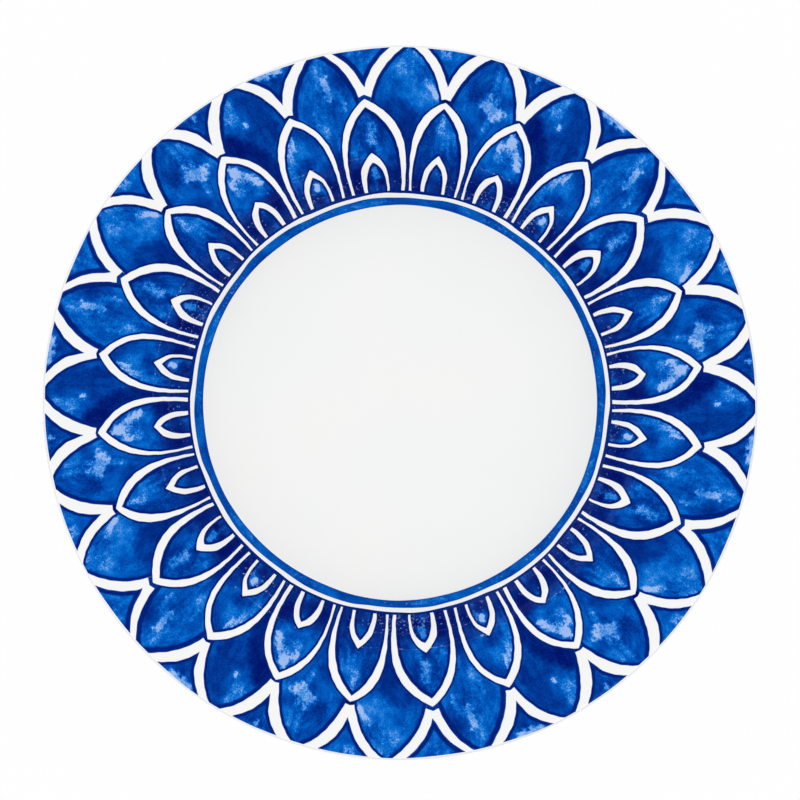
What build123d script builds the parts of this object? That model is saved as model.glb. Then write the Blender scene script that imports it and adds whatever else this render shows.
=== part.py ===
from build123d import *
import os
from math import cos, radians, sin, tan

os.makedirs("parts", exist_ok=True)

# Round dinner plate: a fired clay body under a white glaze, with a band of painted petals on its rim.
# The foot ring rests on z = 0 and the plate's axis is Z. All sizes are in millimetres and degrees.

# the plate
plate_diameter = 270.0
well_diameter = 149.0  # flat floor, up to the start of the cove
clay_thickness = 4.0
cove_radius = 14.0  # hollow bend from the floor to the wall
wall_angle = 40.0
wall_length = 8.0  # straight stretch between the two bends
shoulder_radius = 8.0  # round bend from the wall to the rim
rim_angle = 10.5

# the foot ring
foot_outset = 4.5  # its outside stands this far beyond the well's flat floor
foot_width = 4.6
foot_height = 3.0
foot_draft = 8.0
tread_round = 0.7  # edges of the bare face that the plate stands on
foot_fillet = 1.6  # where the ring grows out of the plate

# the coats
glaze = 0.35
glaze_line = 1.1  # height of the glaze's lower edge on the foot
paint = 0.15

# the two painted lines round the well, measured in plan
well_band_gap = 0.1  # from the end of the flat floor
well_band_width = 3.0
white_ring_width = 1.5
base_line_width = 1.7

# the petals, measured in plan. Heights are shares of the painted band's width, from the petals' foot to the
# edge of the paint. A side is one curve with two handles, the belly and the crown: each has its height and
# its clearance to the edge of the petal's own part of the circle
petal_count = 24
first_petal = 8.85  # clockwise from +Y
edge_margin = 0.9  # bare glaze left outside the paint

inner_height = 0.638
inner_foot_gap = 1.45
inner_belly = (0.257, 0.85)
inner_crown = (0.469, 0.8)
inner_line = 1.3  # white line left round a petal
inner_line_tip = 3.1
link_width = 0.9  # dark line over an inner petal's tip, from one outer petal to the next

bud_height = 0.255
bud_half_foot = 4.1
bud_belly = (0.109, 5.7)  # a bud's handles have their half widths themselves
bud_crown = (0.184, 4.9)
bud_line = 1.0
bud_line_tip = 3.5

outer_foot_gap = 0.45
outer_belly = (0.51, -0.9)
outer_crown = (0.908, 2.4)
outer_line = 3.0
outer_line_crown = 6.0
outer_line_tip = 4.7

# what follows from them
plate_radius = plate_diameter / 2
well_radius = well_diameter / 2
foot_outer = well_radius + foot_outset
foot_inner = foot_outer - foot_width
lip_radius = clay_thickness / 2
floor_height = foot_height + clay_thickness
bend = wall_angle - rim_angle
shoulder_end = (
    well_radius
    + cove_radius * sin(radians(wall_angle))
    + wall_length * cos(radians(wall_angle))
    + shoulder_radius * (sin(radians(wall_angle)) - sin(radians(rim_angle)))
)
lip_start = plate_radius - glaze - lip_radius * (1 + sin(radians(rim_angle)))
rim_length = (lip_start - shoulder_end) / cos(radians(rim_angle))

well_band_inner = well_radius + well_band_gap
well_band_outer = well_band_inner + well_band_width
base_line_inner = well_band_outer + white_ring_width
petal_foot = base_line_inner + base_line_width
paint_edge = plate_radius - edge_margin
pitch = 360 / petal_count


def face_chain(lift):
    """The face from the axis to the outermost point of the lip, parallel to the clay and lift above it."""
    floor = Line((0, floor_height + lift), (well_radius, floor_height + lift))
    cove = JernArc(floor @ 1, floor % 1, cove_radius - lift, wall_angle)
    wall = PolarLine(cove @ 1, wall_length, direction=cove % 1)
    shoulder = JernArc(wall @ 1, wall % 1, shoulder_radius + lift, -bend)
    rim = PolarLine(shoulder @ 1, rim_length, direction=shoulder % 1)
    lip = JernArc(rim @ 1, rim % 1, lip_radius + lift, -90 - rim_angle)
    return floor, lip


def up_band(share):
    """The radius at a share of the way from the petals' foot to the edge of the paint."""
    return petal_foot + share * (paint_edge - petal_foot)


def half_room(radius):
    """Half of one petal's part of the circle, measured across."""
    return radius * sin(radians(pitch / 2))


def petal(foot_half, belly, crown, tip):
    """A pointed petal along +X, as a face of the sketch in use. It starts under the base line."""
    with BuildLine() as outline:
        side = Bezier((base_line_inner, foot_half), belly, crown, (tip, 0))
        mirror(side, about=Plane.XZ)
        Line((base_line_inner, -foot_half), (base_line_inner, foot_half))
    make_face(outline.edges())


def around(start):
    """One place for each petal, clockwise from +Y by start degrees."""
    return PolarLocations(0, petal_count, start_angle=90 - start)


# ---- clay body ----
with BuildSketch(Plane.XZ) as clay_section:
    with BuildLine():
        floor, lip = face_chain(0)
        lip_under = JernArc(lip @ 1, lip % 1, lip_radius, rim_angle - 90)
        back_rim = PolarLine(lip_under @ 1, rim_length, direction=lip_under % 1)
        back_shoulder = JernArc(back_rim @ 1, back_rim % 1, shoulder_radius - clay_thickness, bend)
        back_wall = PolarLine(back_shoulder @ 1, wall_length, direction=back_shoulder % 1)
        back_cove = JernArc(back_wall @ 1, back_wall % 1, cove_radius + clay_thickness, -wall_angle)
        underside = Line(back_cove @ 1, (0, foot_height))
        Line(underside @ 1, floor @ 0)
    make_face()
    with BuildLine():
        root_height = foot_height + clay_thickness / 2
        root_share = foot_height / root_height  # how far up its side the ring meets the plate
        flare = root_height * tan(radians(foot_draft))
        outer_side = Line((foot_outer, 0), (foot_outer + flare, root_height))
        inner_side = Line((foot_inner, 0), (foot_inner - flare, root_height))
        Line(outer_side @ 0, inner_side @ 0)
        Line(outer_side @ 1, inner_side @ 1)
    make_face()
    corners = clay_section.vertices()
    roots = [corners.sort_by_distance(side @ root_share)[0] for side in (outer_side, inner_side)]
    fillet(roots, foot_fillet)
    fillet(clay_section.vertices().group_by(Axis.Y)[0], tread_round)

with BuildPart() as clay_body:
    add(clay_section.sketch)
    revolve(axis=Axis.Z)
clay_body.part.label = "clay_body"
export_step(clay_body.part, "parts/clay_body.step")

# ---- glaze: one coat all over the clay, wiped off the foot up to the glaze line ----
with BuildSketch(Plane.XZ) as coat_section:
    add(clay_section.sketch)
    offset(amount=glaze, kind=Kind.INTERSECTION)
    add(clay_section.sketch, mode=Mode.SUBTRACT)
    Rectangle(plate_diameter, 2 * glaze_line, mode=Mode.SUBTRACT)
    Rectangle(plate_diameter, plate_diameter, align=(Align.MAX, Align.CENTER), mode=Mode.SUBTRACT)
base_coat, face_coat = coat_section.sketch.faces().sort_by(Axis.Z)

with BuildPart() as face_glaze:
    add(face_coat)
    revolve(axis=Axis.Z)
face_glaze.part.label = "face_glaze"
export_step(face_glaze.part, "parts/face_glaze.step")

with BuildPart() as base_glaze:
    add(base_coat)
    revolve(axis=Axis.Z)
base_glaze.part.label = "base_glaze"
export_step(base_glaze.part, "parts/base_glaze.step")

# ---- paint: plans drawn flat, then cut from one thin film that follows the glazed face ----
film_plane = Plane((0, 0, 0), x_dir=(-1, 0, 0), z_dir=(0, 1, 0))  # its seam is opposite the drawn petals

with BuildPart() as paint_film:
    with BuildSketch(film_plane):
        with BuildLine():
            film_foot = face_chain(glaze)
            film_top = face_chain(glaze + paint)
            Line(film_foot[0] @ 0, film_top[0] @ 0)
            Line(film_foot[1] @ 1, film_top[1] @ 1)
        make_face()
    revolve(axis=Axis.Z)


def painted(plan):
    """The paint over a plan drawn on the ground."""
    with BuildPart() as area:
        add(plan.sketch)
        extrude(amount=plate_diameter)
        add(paint_film.part, mode=Mode.INTERSECT)
    return area.part


# each kind of petal along +X: an outline is the outside of the white line round it
bud_tip = up_band(bud_height)
bud_belly_at = up_band(bud_belly[0])
bud_crown_at = up_band(bud_crown[0])
inner_tip = up_band(inner_height)
inner_belly_at = up_band(inner_belly[0])
inner_crown_at = up_band(inner_crown[0])
inner_foot_half = half_room(petal_foot) - inner_foot_gap
inner_belly_half = half_room(inner_belly_at) - inner_belly[1]
inner_crown_half = half_room(inner_crown_at) - inner_crown[1]
outer_belly_at = up_band(outer_belly[0])
outer_crown_at = up_band(outer_crown[0])
outer_foot_half = half_room(petal_foot) - outer_foot_gap
outer_belly_half = half_room(outer_belly_at) - outer_belly[1]
outer_crown_half = half_room(outer_crown_at) - outer_crown[1]

with BuildSketch() as bud_outline:
    petal(bud_half_foot, (bud_belly_at, bud_belly[1]), (bud_crown_at, bud_crown[1]), bud_tip)

with BuildSketch() as inner_outline:
    petal(
        inner_foot_half,
        (inner_belly_at, inner_belly_half),
        (inner_crown_at, inner_crown_half),
        inner_tip,
    )

with BuildSketch() as link_outline:
    petal(
        inner_foot_half,
        (inner_belly_at, inner_belly_half),
        (inner_crown_at + link_width, inner_crown_half + link_width),
        inner_tip + link_width,
    )

with BuildSketch() as outer_petal:
    petal(
        outer_foot_half,
        (outer_belly_at, outer_belly_half),
        (outer_crown_at, outer_crown_half),
        paint_edge,
    )

with BuildSketch() as outer_outline:
    petal(
        outer_foot_half + outer_line,
        (outer_belly_at, outer_belly_half + outer_line),
        (outer_crown_at, outer_crown_half + outer_line_crown),
        paint_edge + outer_line_tip,
    )

neighbours = PolarLocations(0, 2, start_angle=-pitch / 2, angular_range=pitch, endpoint=True)

# the two lines round the well
with BuildSketch() as well_band_plan:
    Circle(well_band_outer)
    Circle(well_band_inner, mode=Mode.SUBTRACT)

with BuildPart() as well_band:
    add(painted(well_band_plan))
well_band.part.label = "well_band"
export_step(well_band.part, "parts/well_band.step")

with BuildSketch() as base_line_plan:
    Circle(petal_foot)
    Circle(base_line_inner, mode=Mode.SUBTRACT)

with BuildPart() as petal_base_line:
    add(painted(base_line_plan))
petal_base_line.part.label = "petal_base_line"
export_step(petal_base_line.part, "parts/petal_base_line.step")

# the petals, from the smallest to the largest, and what fills the edge between them
with BuildSketch() as bud_plan:
    petal(
        bud_half_foot - bud_line,
        (bud_belly_at, bud_belly[1] - bud_line),
        (bud_crown_at - bud_line, bud_crown[1] - bud_line),
        bud_tip - bud_line_tip,
    )
    Circle(petal_foot, mode=Mode.SUBTRACT)

with BuildPart() as bud_petals:
    with around(first_petal):
        add(painted(bud_plan))
bud_petals.part.label = "bud_petals"
export_step(bud_petals.part, "parts/bud_petals.step")

with BuildSketch() as inner_plan:
    petal(
        inner_foot_half - inner_line,
        (inner_belly_at, inner_belly_half - inner_line),
        (inner_crown_at - inner_line, inner_crown_half - inner_line_tip),
        inner_tip - inner_line_tip,
    )
    add(bud_outline.sketch, mode=Mode.SUBTRACT)
    Circle(petal_foot, mode=Mode.SUBTRACT)

with BuildPart() as inner_petals:
    with around(first_petal):
        add(painted(inner_plan))
inner_petals.part.label = "inner_petals"
export_step(inner_petals.part, "parts/inner_petals.step")

with BuildSketch() as outer_plan:
    add(outer_petal.sketch)
    with neighbours:
        add(inner_outline.sketch, mode=Mode.SUBTRACT)
    Circle(petal_foot, mode=Mode.SUBTRACT)

with BuildPart() as outer_petals:
    with around(first_petal + pitch / 2):
        add(painted(outer_plan))
outer_petals.part.label = "outer_petals"
export_step(outer_petals.part, "parts/outer_petals.step")

with BuildSketch() as link_plan:
    add(link_outline.sketch)
    add(inner_outline.sketch, mode=Mode.SUBTRACT)
    with neighbours:
        add(outer_petal.sketch, mode=Mode.SUBTRACT)
    Circle(petal_foot, mode=Mode.SUBTRACT)

with BuildPart() as tip_links:
    with around(first_petal):
        add(painted(link_plan))
tip_links.part.label = "tip_links"
export_step(tip_links.part, "parts/tip_links.step")

with BuildSketch() as spandrel_plan:
    with BuildLine():
        edge_arc = CenterArc((0, 0), paint_edge, -pitch / 2, pitch)
        Line(edge_arc @ 0, (0, 0))
        Line(edge_arc @ 1, (0, 0))
    make_face()
    with neighbours:
        add(outer_outline.sketch, mode=Mode.SUBTRACT)
    Circle(inner_tip + link_width, mode=Mode.SUBTRACT)

with BuildPart() as edge_spandrels:
    with around(first_petal):
        add(painted(spandrel_plan))
edge_spandrels.part.label = "edge_spandrels"
export_step(edge_spandrels.part, "parts/edge_spandrels.step")
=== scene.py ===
from math import atan2, cos, degrees, radians, sin, sqrt, tan, tau

import bmesh
import bpy
import numpy as np
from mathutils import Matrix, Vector
from mathutils.geometry import delaunay_2d_cdt


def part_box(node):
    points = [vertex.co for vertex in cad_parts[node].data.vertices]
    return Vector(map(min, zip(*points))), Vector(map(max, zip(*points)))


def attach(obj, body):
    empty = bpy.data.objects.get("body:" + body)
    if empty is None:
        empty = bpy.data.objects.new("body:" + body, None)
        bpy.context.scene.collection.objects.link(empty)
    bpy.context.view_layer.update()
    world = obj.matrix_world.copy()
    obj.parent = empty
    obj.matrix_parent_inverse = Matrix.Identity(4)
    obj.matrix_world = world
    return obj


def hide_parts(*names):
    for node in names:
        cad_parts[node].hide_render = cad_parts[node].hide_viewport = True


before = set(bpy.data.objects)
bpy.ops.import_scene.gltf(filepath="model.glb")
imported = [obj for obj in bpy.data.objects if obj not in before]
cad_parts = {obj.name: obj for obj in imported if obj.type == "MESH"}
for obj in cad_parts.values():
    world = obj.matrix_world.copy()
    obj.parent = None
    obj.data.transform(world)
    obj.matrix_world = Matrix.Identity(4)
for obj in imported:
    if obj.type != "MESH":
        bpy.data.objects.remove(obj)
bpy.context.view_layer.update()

# A white glazed dinner plate with a ring of brushed cobalt petals on its rim.
# Blender works in metres. The dictionaries below are in millimetres and degrees, and times mm gives metres.
mm = 0.001
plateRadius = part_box("face_glaze")[1].x / mm
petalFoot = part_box("petal_base_line")[1].x / mm
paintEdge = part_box("outer_petals")[1].x / mm


class Wiring:
    # short hands for building one node tree
    def __init__(self, tree):
        self.tree = tree

    def feed(self, socket, value):
        # joins another socket to this one, or sets its own value
        if isinstance(value, bpy.types.NodeSocket):
            self.tree.links.new(value, socket)
        else:
            socket.default_value = value

    def node(self, kind, values=(), **settings):
        made = self.tree.nodes.new(kind)
        for key, value in settings.items():
            setattr(made, key, value)
        for key, value in dict(values).items():
            self.feed(made.inputs[key], value)
        return made

    def flow(self, *nodes):
        # passes the first thing that each node makes on to the next node
        for before, after in zip(nodes, nodes[1:]):
            self.tree.links.new(before.outputs[0], after.inputs[0])

    def calc(self, operation, a, b=None, clamp=False):
        values = {0: a} if b is None else {0: a, 1: b}
        return self.node("ShaderNodeMath", values, operation=operation, use_clamp=clamp).outputs[0]

    def total(self, weighted):
        # the sum of (value, weight) pairs
        scaled = [self.calc("MULTIPLY", value, weight) for value, weight in weighted]
        result = scaled[0]
        for value in scaled[1:]:
            result = self.calc("ADD", result, value)
        return result

    def highest(self, values):
        result = values[0]
        for value in values[1:]:
            result = self.calc("MAXIMUM", result, value)
        return result

    def smoothStep(self, value, low, high):
        values = {"Value": value, "From Min": low, "From Max": high}
        return self.node("ShaderNodeMapRange", values, interpolation_type="SMOOTHSTEP").outputs["Result"]

    def noise(self, place, scale, detail, roughness=0.5):
        values = {"Vector": place, "Scale": scale, "Detail": detail, "Roughness": roughness}
        return self.node("ShaderNodeTexNoise", values).outputs["Fac"]

    def evenNoise(self, place, scale, detail, roughness=0.5):
        # noise that swings evenly round zero
        return self.calc("SUBTRACT", self.noise(place, scale, detail, roughness), 0.5)

    def radius(self, place):
        # distance from the plate's axis in millimetres
        flat = self.node("ShaderNodeVectorMath", {0: place, 1: (1, 1, 0)}, operation="MULTIPLY")
        size = self.node("ShaderNodeVectorMath", {0: flat.outputs[0]}, operation="LENGTH")
        return self.calc("MULTIPLY", size.outputs["Value"], 1 / mm)

    def ramp(self, share, steps):
        made = self.node("ShaderNodeValToRGB", {"Fac": share})
        stops = made.color_ramp.elements
        for place, colour in steps[1:-1]:
            stops.new(place)
        for stop, (place, colour) in zip(stops, steps):
            stop.position = place
            stop.color = colour
        return made.outputs["Color"]

    def mixColour(self, share, a, b):
        values = {"Factor": share, "A": a, "B": b}
        return self.node("ShaderNodeMix", values, data_type="RGBA").outputs["Result"]

    def mixShader(self, share, a, b):
        return self.node("ShaderNodeMixShader", {"Fac": share, 1: a, 2: b}).outputs[0]


# camera, floor and light
studio = {
    "viewWidth": 301.8,  # what the camera sees across at the height of the rim
    "distance": 10000.0,
    "aside": (-0.03, 1.01),  # the plate sits a little low and left of the camera's axis
    "clipEnd": 100000.0,
    "floorRadius": 12000.0,
    "floorSides": 64,
    # brightness by height, from the horizon to straight overhead: as it lights, and as the glaze mirrors it
    "sky": ((0.0, 0.5), (0.02, 1.0), (0.3, 1.0), (0.6, 0.54), (1.0, 0.54)),
    "mirrored": ((0.0, 0.7), (0.1, 0.7), (0.14, 0.03), (0.21, 0.03), (0.27, 0.25), (0.5, 0.2), (0.62, 0.05),
                 (1.0, 0.006)),
    "skyStrength": 1.49,
    "floorColour": (0.96, 0.96, 0.96),
    "floorShown": 0.955,  # how much of the floor is plain white to the camera, the rest keeps the shadow
    "floorGlow": 0.35,  # how much of the light below comes up through it, as on a light table
    "lamps": {"keyLight": (315, 5), "fillLight": (140, 4)},  # azimuth and watts of each soft square lamp
    "lampTilt": 52,  # down from straight overhead
    "lampDistance": 2200.0,
    "lampSize": 1800.0,
    "lampAim": 20.0,  # height over the table that the lamps look at
}


def placed(name, data):
    made = bpy.data.objects.new(name, data)
    bpy.context.scene.collection.objects.link(made)
    return made


def addCamera():
    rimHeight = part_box("face_glaze")[1].z
    data = bpy.data.cameras.new("plateCamera")
    data.lens = data.sensor_width * studio["distance"] / studio["viewWidth"]
    data.clip_end = studio["clipEnd"] * mm
    camera = placed("plateCamera", data)
    x, y = studio["aside"]
    camera.location = (x * mm, y * mm, rimHeight + studio["distance"] * mm)
    bpy.context.scene.camera = camera


def addLamp(name, azimuth, watts):
    data = bpy.data.lights.new(name, "AREA")
    data.shape = "SQUARE"
    data.size = studio["lampSize"] * mm
    data.energy = watts
    lamp = placed(name, data)
    around, tilt = radians(azimuth), radians(studio["lampTilt"])
    away = Vector((sin(around) * sin(tilt), cos(around) * sin(tilt), cos(tilt)))
    lamp.location = away * studio["lampDistance"] * mm
    aim = Vector((0, 0, studio["lampAim"] * mm))
    lamp.rotation_euler = (lamp.location - aim).to_track_quat("Z", "Y").to_euler()


def addWorld():
    world = bpy.data.worlds.new("softStudio")
    bpy.context.scene.world = world
    world.use_nodes = True
    world.node_tree.nodes.clear()
    wires = Wiring(world.node_tree)
    towards = wires.node("ShaderNodeTexCoord").outputs["Generated"]
    height = wires.node("ShaderNodeSeparateXYZ", {0: towards}).outputs["Z"]

    def light(steps):
        colour = wires.ramp(height, [(place, (grey, grey, grey, 1)) for place, grey in steps])
        values = {"Color": colour, "Strength": studio["skyStrength"]}
        return wires.node("ShaderNodeBackground", values).outputs[0]

    white = wires.node("ShaderNodeBackground", {"Color": (1, 1, 1, 1)}).outputs[0]
    rays = wires.node("ShaderNodeLightPath").outputs
    seen = wires.mixShader(rays["Is Glossy Ray"], light(studio["sky"]), light(studio["mirrored"]))
    seen = wires.mixShader(rays["Is Camera Ray"], seen, white)  # behind the floor the camera sees white
    wires.node("ShaderNodeOutputWorld", {"Surface": seen})


def floorMaterial():
    made = bpy.data.materials.new("paleFloor")
    made.use_nodes = True
    made.node_tree.nodes.clear()
    wires = Wiring(made.node_tree)
    colour = {"Color": (*studio["floorColour"], 1)}
    solid = wires.node("ShaderNodeBsdfDiffuse", colour).outputs[0]
    glowing = wires.node("ShaderNodeBsdfTranslucent", colour).outputs[0]
    white = wires.node("ShaderNodeEmission").outputs[0]
    clear = wires.node("ShaderNodeBsdfTransparent").outputs[0]
    rays = wires.node("ShaderNodeLightPath").outputs
    looked = wires.highest([rays["Is Camera Ray"], rays["Is Glossy Ray"], rays["Is Transmission Ray"]])
    shown = wires.calc("MULTIPLY", looked, studio["floorShown"])
    table = wires.mixShader(shown, wires.mixShader(studio["floorGlow"], solid, glowing), white)
    below = wires.node("ShaderNodeNewGeometry").outputs["Backfacing"]
    table = wires.mixShader(below, table, clear)  # from underneath the floor isn't there
    wires.node("ShaderNodeOutputMaterial", {"Surface": table})
    return made


def addFloor():
    count, reach = studio["floorSides"], studio["floorRadius"] * mm
    angles = [tau * i / count for i in range(count)]
    data = bpy.data.meshes.new("floor")
    data.from_pydata([(-sin(a) * reach, cos(a) * reach, 0) for a in angles], [], [tuple(range(count))])
    data.materials.append(floorMaterial())
    placed("floor", data)


bpy.context.scene.view_settings.view_transform = "Standard"
addCamera()
addWorld()
addFloor()
for lampName, (lampAzimuth, lampWatts) in studio["lamps"].items():
    addLamp(lampName, lampAzimuth, lampWatts)
print("stage ready")


# the plate's section, which the CAD plate shares
form = {
    "wellRadius": 74.5,
    "clay": 4.0,
    "coveRadius": 14.0,
    "wallAngle": 40.0,
    "wallLength": 8.0,
    "shoulderRadius": 8.0,
    "rimAngle": 10.5,
    "glaze": 0.35,
    "footHeight": 3.0,
    "footOutset": 4.5,
    "footWidth": 4.6,
    "footDraft": 8.0,
    "footFillet": 1.6,
    "glazeLine": 1.1,
    "curveSpacing": 0.02,
}
lipRadius = form["clay"] / 2
floorHeight = form["footHeight"] + form["clay"]
bend = form["wallAngle"] - form["rimAngle"]


def walk(start, heading, steps, spacing):
    # follows a section as a row of (radius, height, heading): a step is (length,) or (radius, turn)
    points = [(start[0], start[1], heading)]
    for step in steps:
        r, z, way = points[-1]
        if len(step) == 1:
            count = max(1, round(step[0] / spacing))
            for i in range(1, count + 1):
                run = step[0] * i / count
                points.append((r + run * cos(radians(way)), z + run * sin(radians(way)), way))
            continue
        size, turn = step
        side = 1 if turn > 0 else -1
        centre = (r - side * size * sin(radians(way)), z + side * size * cos(radians(way)))
        count = max(2, round(abs(radians(turn)) * size / spacing))
        for i in range(1, count + 1):
            now = way + turn * i / count
            points.append((centre[0] + side * size * sin(radians(now)),
                           centre[1] - side * size * cos(radians(now)), now))
    return points


def rimRun():
    wall, rim = radians(form["wallAngle"]), radians(form["rimAngle"])
    shoulderEnd = (form["wellRadius"] + form["coveRadius"] * sin(wall) + form["wallLength"] * cos(wall)
                   + form["shoulderRadius"] * (sin(wall) - sin(rim)))
    lipStart = plateRadius - form["glaze"] - lipRadius * (1 + sin(rim))
    return (lipStart - shoulderEnd) / cos(rim)


def faceSteps(lift):
    return [
        (form["coveRadius"] - lift, form["wallAngle"]),
        (form["wallLength"],),
        (form["shoulderRadius"] + lift, -bend),
        (rimRun(),),
        (lipRadius + lift, -90 - form["rimAngle"]),
    ]


def backSteps(lift):
    return [
        (lipRadius + lift, form["rimAngle"] - 90),
        (rimRun(),),
        (form["shoulderRadius"] - form["clay"] - lift, bend),
        (form["wallLength"],),
    ]


# the glaze's face as a fine row of radius, height and heading, for the paint to follow
faceRun = [(form["wellRadius"],)] + faceSteps(form["glaze"])
faceCurve = np.array(walk((0, floorHeight + form["glaze"]), 0, faceRun, form["curveSpacing"]))


def faceHeight(radius):
    return np.interp(radius, faceCurve[:, 0], faceCurve[:, 1])


def faceSlope(radius):
    return np.radians(np.interp(radius, faceCurve[:, 0], faceCurve[:, 2]))


def meshObject(name, points, faces):
    data = bpy.data.meshes.new(name)
    data.from_pydata([tuple(p) for p in points], [], faces)
    return placed(name, data)


def seat(piece, node):
    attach(piece, "root")
    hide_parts(node)


def newGroup(kind, name, inputs, outputs):
    tree = bpy.data.node_groups.new(name, kind)
    for label, socketKind, value in inputs:
        socket = tree.interface.new_socket(label, in_out="INPUT", socket_type="NodeSocket" + socketKind)
        if value is not None:
            socket.default_value = value
    for label, socketKind in outputs:
        tree.interface.new_socket(label, in_out="OUTPUT", socket_type="NodeSocket" + socketKind)
    return tree


def grown(made, tree, values):
    # runs the tree on the object and keeps the result as its plain mesh
    modifier = made.modifiers.new("grow", "NODES")
    modifier.node_group = tree
    for item in tree.interface.items_tree:
        if item.item_type == "SOCKET" and item.in_out == "INPUT" and item.name in values:
            modifier[item.identifier] = values[item.name]
    graph = bpy.context.evaluated_depsgraph_get()
    data = bpy.data.meshes.new_from_object(made.evaluated_get(graph), preserve_all_data_layers=True,
                                           depsgraph=graph)
    made.modifiers.remove(modifier)
    made.data = data
    return made


def revolveTree():
    # turns a section, a row of points in the XZ plane from the axis out and back to it, into a whole round
    tree = newGroup("GeometryNodeTree", "revolveSection", [
        ("Geometry", "Geometry", None),
        ("Segments", "Int", 384),
        ("Material", "Material", None),
    ], [("Geometry", "Geometry")])
    wires = Wiring(tree)
    node, calc = wires.node, wires.calc
    given = node("NodeGroupInput").outputs
    count = node("GeometryNodeAttributeDomainSize", {0: given["Geometry"]}).outputs["Point Count"]
    index = node("GeometryNodeInputIndex").outputs[0]
    column, row = calc("FLOOR", calc("DIVIDE", index, count)), calc("MODULO", index, count)
    columns = calc("ADD", given["Segments"], 1.0)
    sheet = node("GeometryNodeMeshGrid", {"Vertices X": columns, "Vertices Y": count})
    place = node("GeometryNodeInputPosition").outputs[0]
    picking = {"Geometry": given["Geometry"], "Value": place, "Index": row}
    picked = node("GeometryNodeSampleIndex", picking, data_type="FLOAT_VECTOR", domain="POINT")
    angle = calc("MULTIPLY", calc("DIVIDE", column, given["Segments"]), -tau)
    turning = {"Vector": picked.outputs["Value"], "Angle": angle}
    swept = node("ShaderNodeVectorRotate", turning, rotation_type="Z_AXIS").outputs[0]
    wires.flow(
        sheet,
        node("GeometryNodeSetPosition", {"Position": swept}),
        node("GeometryNodeMergeByDistance", {"Distance": 1e-6}),
        node("GeometryNodeSetShadeSmooth"),
        node("GeometryNodeRealizeInstances"),
        node("GeometryNodeSetMaterial", {"Material": given["Material"]}),
        node("NodeGroupOutput"),
    )
    return tree


def ringTree():
    # sets copies of one painted strip round the plate, then stretches the ring a little as it was laid
    tree = newGroup("GeometryNodeTree", "layStripsRound", [
        ("Geometry", "Geometry", None),
        ("Count", "Int", 6),
        ("Turn", "Float", 0.0),
        ("Stretch Once", "Float", 0.0),
        ("Stretch From", "Float", 0.0),
        ("Stretch Twice", "Float", 0.0),
        ("Material", "Material", None),
    ], [("Geometry", "Geometry")])
    wires = Wiring(tree)
    node, calc = wires.node, wires.calc
    given = node("NodeGroupInput").outputs
    index = node("GeometryNodeInputIndex").outputs[0]
    angle = calc("MULTIPLY", calc("DIVIDE", index, given["Count"]), -tau)
    turn = node("ShaderNodeCombineXYZ", {"Z": angle}).outputs[0]
    place = node("GeometryNodeInputPosition").outputs[0]
    split = node("ShaderNodeSeparateXYZ", {0: place}).outputs
    azimuth = calc("ARCTAN2", split["X"], split["Y"])
    once = calc("COSINE", calc("SUBTRACT", azimuth, given["Stretch From"]))
    twice = calc("SINE", calc("MULTIPLY", azimuth, 2.0))
    stretch = wires.total([(once, given["Stretch Once"]), (twice, given["Stretch Twice"])])
    turning = {"Vector": place, "Angle": calc("SUBTRACT", stretch, given["Turn"])}
    laid = node("ShaderNodeVectorRotate", turning, rotation_type="Z_AXIS").outputs[0]
    wires.flow(
        node("GeometryNodePoints", {"Count": given["Count"]}),
        node("GeometryNodeInstanceOnPoints", {"Instance": given["Geometry"], "Rotation": turn}),
        node("GeometryNodeRealizeInstances"),
        node("GeometryNodeSetPosition", {"Position": laid}),
        node("GeometryNodeSetMaterial", {"Material": given["Material"]}),
        node("NodeGroupOutput"),
    )
    return tree


revolveSection = revolveTree()
layStripsRound = ringTree()


def tint(red, green, blue):
    # a colour given as it looks on a screen, 0 to 255
    def linear(value):
        value /= 255
        return value / 12.92 if value <= 0.04045 else ((value + 0.055) / 1.055) ** 2.4
    return (linear(red), linear(green), linear(blue), 1)


cobaltSteps = [  # from a deep pool of cobalt to a thin wash
    (0.00, (0, 17, 104)),
    (0.12, (0, 33, 119)),
    (0.22, (0, 44, 132)),
    (0.32, (0, 54, 145)),
    (0.44, (0, 71, 167)),
    (0.56, (0, 90, 187)),
    (0.66, (0, 106, 203)),
    (0.76, (30, 123, 214)),
    (0.86, (82, 146, 223)),
    (0.94, (130, 170, 230)),
    (1.00, (156, 186, 236)),
]
washLook = {
    # scale, detail, roughness, stretch and shift of each noise over a petal in millimetres
    "noises": {
        "broad": (0.1, 2.0, 0.5, (1, 0.8, 1), 3.1),
        "streak": (0.55, 3.0, 0.55, (1, 0.28, 1), 11.7),
        "grain": (0.7, 4.0, 0.6, (1, 0.8, 1), 27.3),
        "fine": (1.7, 4.0, 0.75, (1, 1, 1), 41.9),
    },
    "hairs": (1.5, 0.11, 0.12),  # how fast the hairs' marks change off the outline, up and across the petal
    "hairsFade": (8.0, 1.0),  # in outline widths, from gone to full
    "mottle": {"broad": 1.7, "streak": 0.4, "grain": 0.22, "fine": 1.0, "hairs": 0.5},
    "ragged": {"grain": 1.0, "streak": 0.5, "fine": 1.2},  # what breaks up the edges of a dab
    "lightReach": 1.4,
    "poolReach": 1.0,
    # a dab's strength where it starts to show and where it is full, and how far it moves the tone
    "halfLight": (0.08, 0.60, 0.24),
    "paleLight": (0.48, 0.88, 0.27),
    "deep": (0.05, 0.85, -0.35),
    "inkWander": {"streak": 0.45, "fine": 0.25},
    "inkIn": (0.05, 0.45),  # the outline darkens inwards from its edge
    "inkOut": (1.25, 0.8),
    "inkEdge": 0.55,
    "inkGrain": 0.25,
}


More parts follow.
